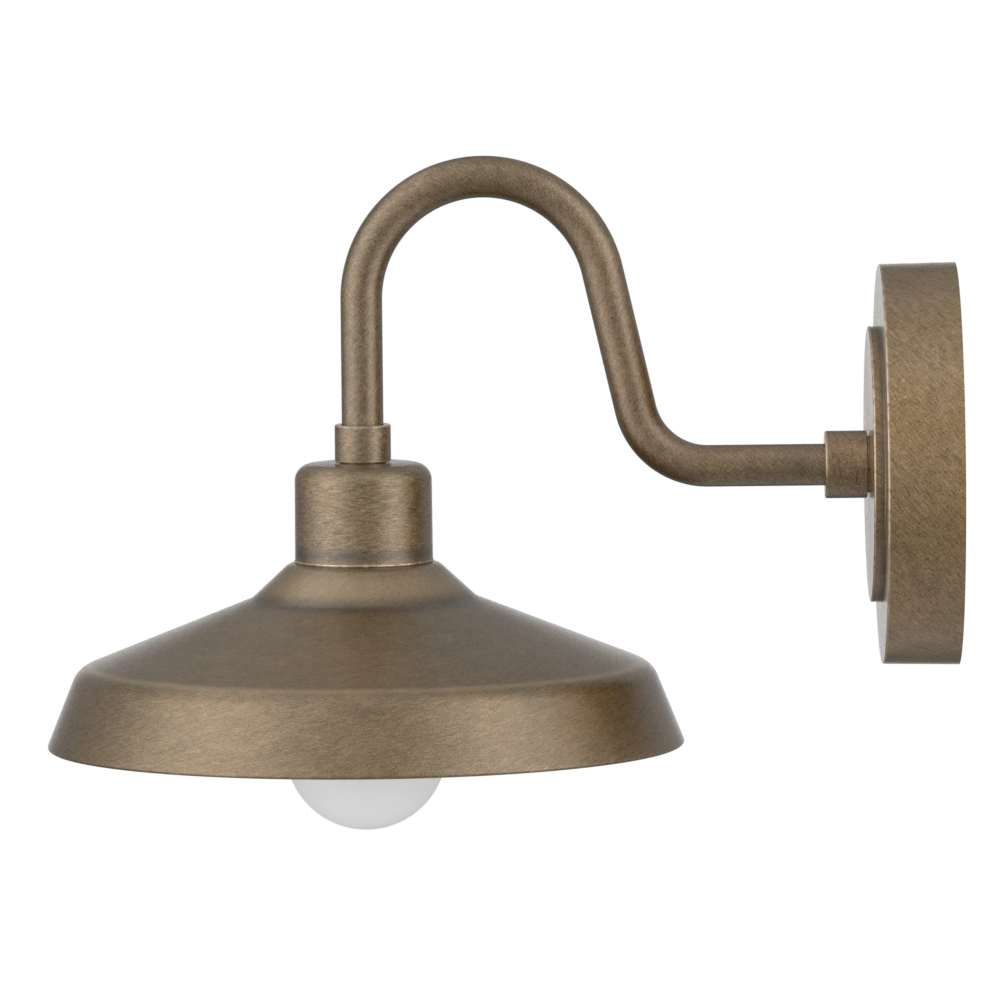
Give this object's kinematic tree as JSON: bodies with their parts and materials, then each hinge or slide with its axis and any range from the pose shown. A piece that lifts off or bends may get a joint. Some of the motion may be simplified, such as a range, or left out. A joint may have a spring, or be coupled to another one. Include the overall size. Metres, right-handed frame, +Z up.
{
  "type": "gooseneck wall sconce",
  "caption": "Wall light: round stepped canopy, bent gooseneck tube, socket cup and a wide spun metal shade over a screw-in globe bulb.",
  "frame": {"origin": "centre of the canopy's back plane, on the wall, midway between the two wall-box slots", "axes": "+Y into the wall, so the light stands out along -Y; +Z up; +X along the wall"},
  "size_m": [0.2413, 0.3454, 0.2554],
  "materials": {
    "bronze_finish": "spun and bent steel with a hand-burnished antique bronze finish",
    "bronze_collar": "turned brass with the same burnished bronze finish",
    "zinc_steel": "zinc-plated steel",
    "green_screw": "green-coated steel earth screw",
    "black_steel": "black oxide steel",
    "green_lead": "green insulation",
    "black_lead": "black insulation",
    "white_lead": "white insulation",
    "copper": null,
    "bushing_plastic": "moulded nylon",
    "ring_plastic": "black moulded phenolic",
    "porcelain": "white glazed porcelain",
    "bright_brass": "bright brass",
    "solder": "tinned contact",
    "black_glass": "black glass insulator",
    "lamp_nickel": "nickel-plated screw base",
    "lamp_white": "white moulded housing",
    "lamp_white_board": "white-coated aluminium board",
    "driver_board": "circuit board with its capacitor",
    "frosted_globe": "frosted white diffuser"
  },
  "bodies": {
    "fixture": {"mounting_bracket": "zinc_steel", "canopy": "bronze_finish", "canopy_screws": "bronze_finish", "ground_screw": "green_screw", "ground_lead": "green_lead", "wall_nipple": "zinc_steel", "wall_lock_washer": "zinc_steel", "wall_locknut": "zinc_steel", "wall_bushing": "bushing_plastic", "wall_collar": "bronze_collar", "wall_set_screw": "black_steel", "gooseneck_arm": "bronze_finish", "hot_lead": "black_lead", "neutral_lead": "white_lead", "conductor_ends": "copper", "head_collar": "bronze_collar", "head_set_screw": "black_steel", "head_nipple": "zinc_steel", "head_lock_washer": "zinc_steel", "head_locknut": "zinc_steel", "socket_cup": "bronze_finish", "shade": "bronze_finish", "shade_ring": "ring_plastic", "socket_hanger": "zinc_steel", "hanger_screws": "zinc_steel", "socket_body": "porcelain", "terminal_plates": "bright_brass", "terminal_screws": "bright_brass", "contact_tongue": "bright_brass", "socket_shell": "bright_brass"},
    "bulb_travel": {"bulb_tip": "solder", "bulb_insulator": "black_glass"},
    "bulb": {"bulb_base": "lamp_nickel", "bulb_housing": "lamp_white", "led_driver": "driver_board", "led_board": "lamp_white_board", "bulb_globe": "frosted_globe"}
  },
  "joints": [
    {"name": "bulb_slide", "type": "slide", "parent": "fixture", "child": "bulb_travel", "axis": [0, 0, -1], "range_m": [0, 0.02177]},
    {"name": "bulb_turn", "type": "hinge", "parent": "bulb_travel", "child": "bulb", "pos_m": [0, -0.2248, -0.05], "axis": [0, 0, -1], "range_deg": [0, 2160]}
  ],
  "couplings": [
    {"joint": "bulb_slide", "follows": "bulb_turn", "m_per_rad": 0.00057751}
  ]
}
